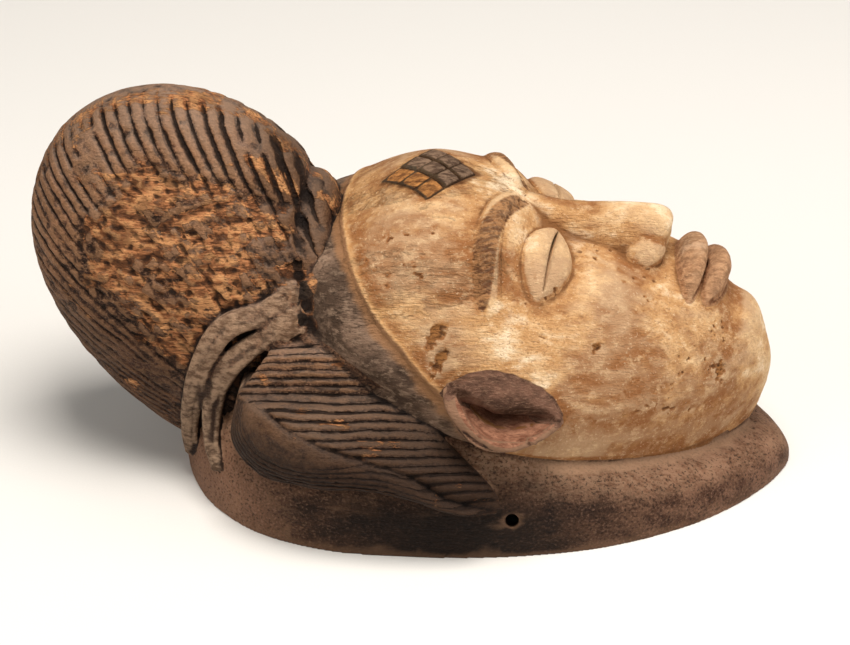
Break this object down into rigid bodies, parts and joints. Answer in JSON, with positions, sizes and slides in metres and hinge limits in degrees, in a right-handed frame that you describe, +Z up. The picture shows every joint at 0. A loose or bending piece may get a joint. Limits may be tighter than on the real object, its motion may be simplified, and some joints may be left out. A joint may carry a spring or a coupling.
{
  "type": "carved wooden face mask",
  "caption": "Hollow carved wooden face mask with a whitened face, a ribbed crest, plaited side tresses and a collar; it lies face up on its rim.",
  "frame": {"origin": "bottom centre of the mask's box, on the plane that the rim lies on", "axes": "+X from the crest to the chin, +Y to the mask's left, +Z up out of the face"},
  "size_m": [0.334, 0.1862, 0.175],
  "materials": {
    "carved_wood": "matt worn stain, white clay on the face"
  },
  "bodies": {
    "root": {"mask": "carved_wood"}
  },
  "joints": []
}
